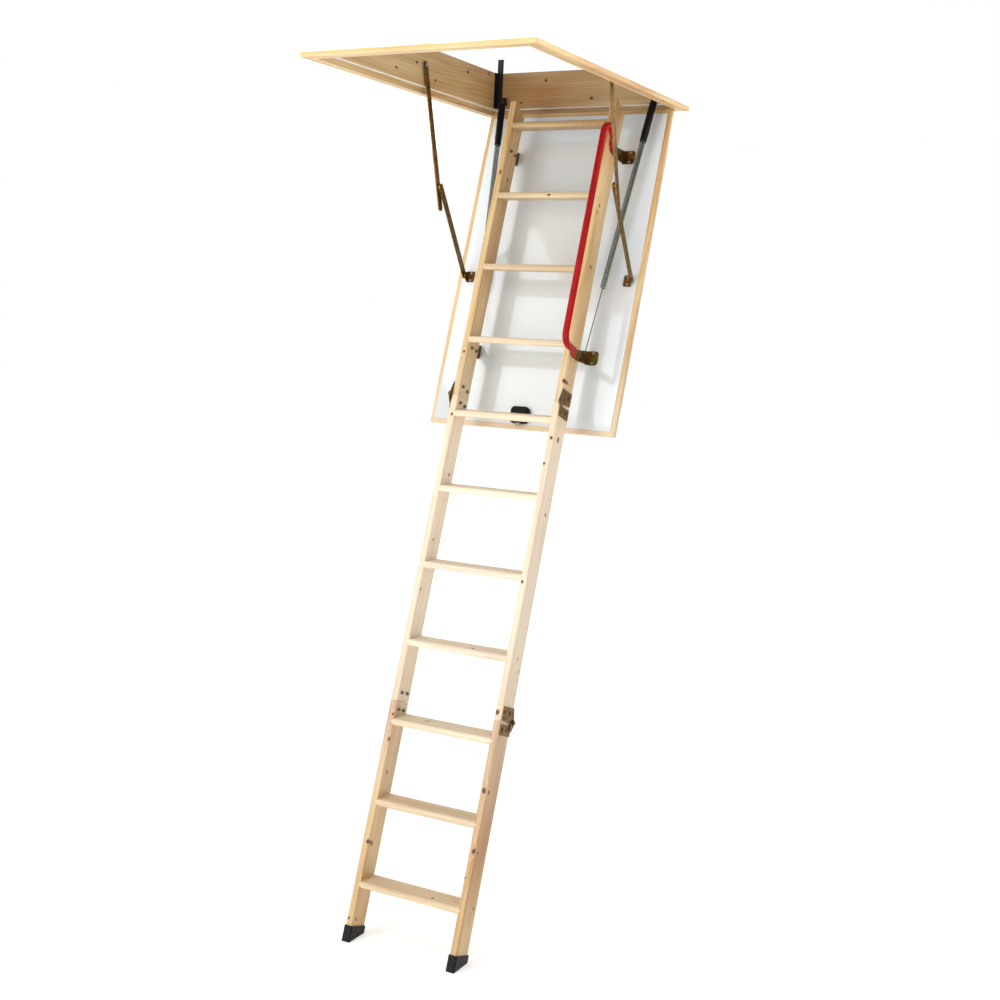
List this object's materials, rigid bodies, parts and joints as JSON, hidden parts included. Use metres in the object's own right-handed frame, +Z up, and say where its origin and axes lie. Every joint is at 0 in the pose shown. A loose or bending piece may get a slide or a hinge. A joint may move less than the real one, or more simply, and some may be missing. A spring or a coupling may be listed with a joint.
{
  "type": "loft ladder",
  "caption": "Folding wooden loft ladder in hinged sections on an insulated ceiling hatch, with a timber frame, knee stays, springs and a handrail.",
  "frame": {"origin": "centre of the ceiling opening, in the plane of the frame's underside", "axes": "+X to the climber's right along the treads, +Y towards the hinged end of the hatch, +Z up"},
  "size_m": [0.77, 1.24, 2.932],
  "materials": {
    "frame_pine": "oiled pine",
    "hatch_pine": "oiled pine",
    "stile_pine": "sanded pine",
    "tread_pine": "sanded pine with grip grooves",
    "white_board": "satin white coated hardboard",
    "insulation": "expanded foam",
    "seal_foam": "soft white foam strip",
    "chromated_steel": "yellow chromate over zinc",
    "zinc_steel": "bright zinc",
    "black_steel": "black coated",
    "spring_steel": "oiled spring wire",
    "red_tube": "gloss powder coat",
    "black_plastic": "moulded, lightly textured"
  },
  "bodies": {
    "frame": {"frame_side_left": "frame_pine", "frame_side_right": "frame_pine", "frame_end_front": "frame_pine", "frame_end_hinge": "frame_pine", "frame_trim": "frame_pine", "frame_seal": "seal_foam", "frame_screws": "zinc_steel", "frame_hinge_leaf": "zinc_steel", "spring_posts": "black_steel", "stay_studs": "zinc_steel", "lock_strike": "zinc_steel"},
    "hatch": {"hatch_rail_left": "hatch_pine", "hatch_rail_right": "hatch_pine", "hatch_rail_top": "hatch_pine", "hatch_rail_bottom": "hatch_pine", "hatch_core": "insulation", "hatch_skin_inner": "white_board", "hatch_skin_outer": "white_board", "hatch_hinge_leaf": "zinc_steel", "lock_case": "black_plastic", "ladder_brackets_upper": "chromated_steel", "ladder_brackets_lower": "chromated_steel", "bracket_bolts": "zinc_steel", "bracket_screws": "zinc_steel", "handrail": "red_tube", "stay_brackets": "chromated_steel", "spring_left": "spring_steel", "spring_right": "spring_steel", "spring_caps": "black_plastic", "stile_1_left": "stile_pine", "stile_1_right": "stile_pine", "tread_01": "tread_pine", "tread_02": "tread_pine", "tread_03": "tread_pine", "tread_04": "tread_pine", "section_1_bolts": "zinc_steel", "joint_1_upper_leaves": "chromated_steel"},
    "lock_slider": {"lock_bolt": "zinc_steel"},
    "section_2": {"stile_2_left": "stile_pine", "stile_2_right": "stile_pine", "tread_05": "tread_pine", "tread_06": "tread_pine", "tread_07": "tread_pine", "tread_08": "tread_pine", "joint_1_lower_leaves": "chromated_steel", "joint_2_upper_leaves": "chromated_steel", "section_2_bolts": "zinc_steel"},
    "section_3": {"stile_3_left": "stile_pine", "stile_3_right": "stile_pine", "tread_09": "tread_pine", "tread_10": "tread_pine", "tread_11": "tread_pine", "joint_2_lower_leaves": "chromated_steel", "section_3_bolts": "zinc_steel", "foot_left": "black_plastic", "foot_right": "black_plastic"},
    "stay_upper": {"stay_upper_left": "chromated_steel", "stay_upper_right": "chromated_steel"},
    "stay_lower": {"stay_lower_left": "chromated_steel", "stay_lower_right": "chromated_steel"}
  },
  "joints": [
    {"name": "hatch_hinge", "type": "hinge", "parent": "frame", "child": "hatch", "pos_m": [0, 0.585, -0.005], "axis": [-1, 0, 0], "range_deg": [0, 45], "deforming": ["spring_left", "spring_right", "spring_caps"]},
    {"name": "section_2_fold", "type": "hinge", "parent": "hatch", "child": "section_2", "pos_m": [0, 0.07827, -0.99696], "axis": [-1, 0, 0], "range_deg": [0, 90]},
    {"name": "section_3_fold", "type": "hinge", "parent": "section_2", "child": "section_3", "pos_m": [0, -0.15366, -2.02143], "axis": [1, 0, 0], "range_deg": [0, 180]},
    {"name": "stay_upper_swing", "type": "hinge", "parent": "frame", "child": "stay_upper", "pos_m": [0, 0.028, 0.088], "axis": [-1, 0, 0], "range_deg": [0, 76.92]},
    {"name": "stay_lower_swing", "type": "hinge", "parent": "hatch", "child": "stay_lower", "pos_m": [0, 0.34909, -0.58867], "axis": [1, 0, 0], "range_deg": [0, 79.28]},
    {"name": "lock_slide", "type": "slide", "parent": "hatch", "child": "lock_slider", "axis": [0, 0.309, 0.9511], "range_m": [0, 0.01], "stiffness_N_per_m": 400, "springref_m": -0.004}
  ],
  "couplings": [
    {"joint": "stay_upper_swing", "follows": "hatch_hinge", "ratio": 1.6983},
    {"joint": "stay_lower_swing", "follows": "hatch_hinge", "ratio": 1.7507}
  ]
}
